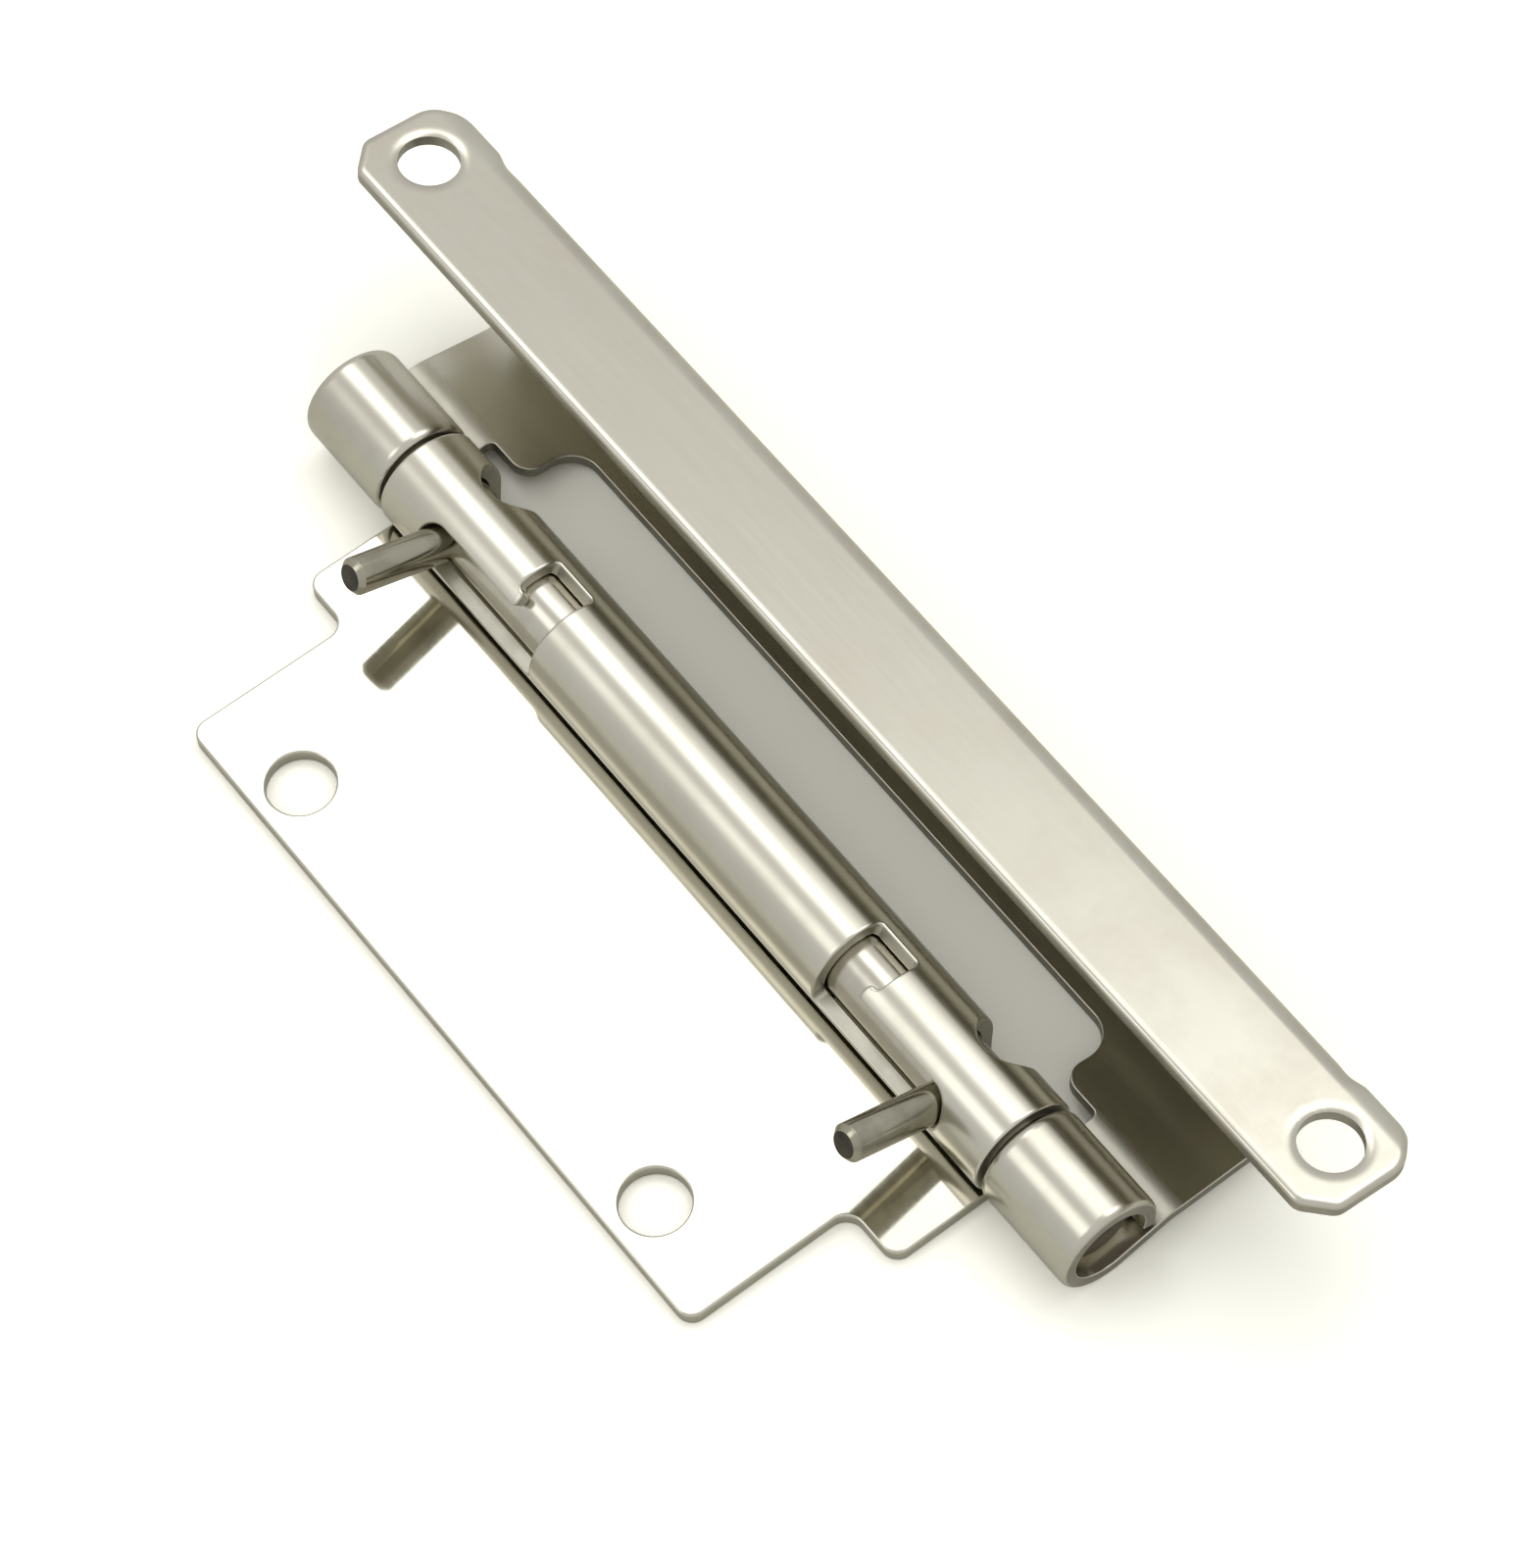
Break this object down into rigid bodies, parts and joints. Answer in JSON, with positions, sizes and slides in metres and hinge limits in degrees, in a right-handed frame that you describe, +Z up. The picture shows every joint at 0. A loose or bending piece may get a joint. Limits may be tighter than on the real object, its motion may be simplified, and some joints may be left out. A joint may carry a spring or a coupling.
{
  "type": "lift-off hinge",
  "caption": "Lift-off hinge of folded sheet with a plate leaf, a long bracket leaf and sliding spring pins with finger handles in a slotted barrel.",
  "frame": {"origin": "midway between the plate leaf's two screw holes, on its underside", "axes": "+X along the hinge axis, +Y from the plate leaf's outer edge to the bracket leaf, +Z up from the plate leaf's underside"},
  "size_m": [0.14, 0.0544, 0.0188],
  "materials": {
    "plate_sheet": "polished",
    "bracket_sheet": "satin",
    "pin_steel": "turned",
    "handle_steel": "turned",
    "spring_wire": "drawn wire"
  },
  "bodies": {
    "plate": {"plate_leaf": "plate_sheet", "spring": "spring_wire"},
    "bracket": {"bracket_leaf": "bracket_sheet"},
    "left_bolt": {"left_pin": "pin_steel", "left_handle": "handle_steel"},
    "right_bolt": {"right_pin": "pin_steel", "right_handle": "handle_steel"}
  },
  "joints": [
    {"name": "hinge", "type": "hinge", "parent": "plate", "child": "bracket", "pos_m": [0, 0.0269, 0.00525], "axis": [1, 0, 0], "range_deg": [-113, 139]},
    {"name": "left_bolt_slide", "type": "slide", "parent": "plate", "child": "left_bolt", "axis": [1, 0, 0], "range_m": [0, 0.0134], "stiffness_N_per_m": 800, "springref_m": -0.0075, "deforming": ["spring"]},
    {"name": "right_bolt_slide", "type": "slide", "parent": "plate", "child": "right_bolt", "axis": [-1, 0, 0], "range_m": [0, 0.0134], "stiffness_N_per_m": 800, "springref_m": -0.0075, "deforming": ["spring"]}
  ]
}
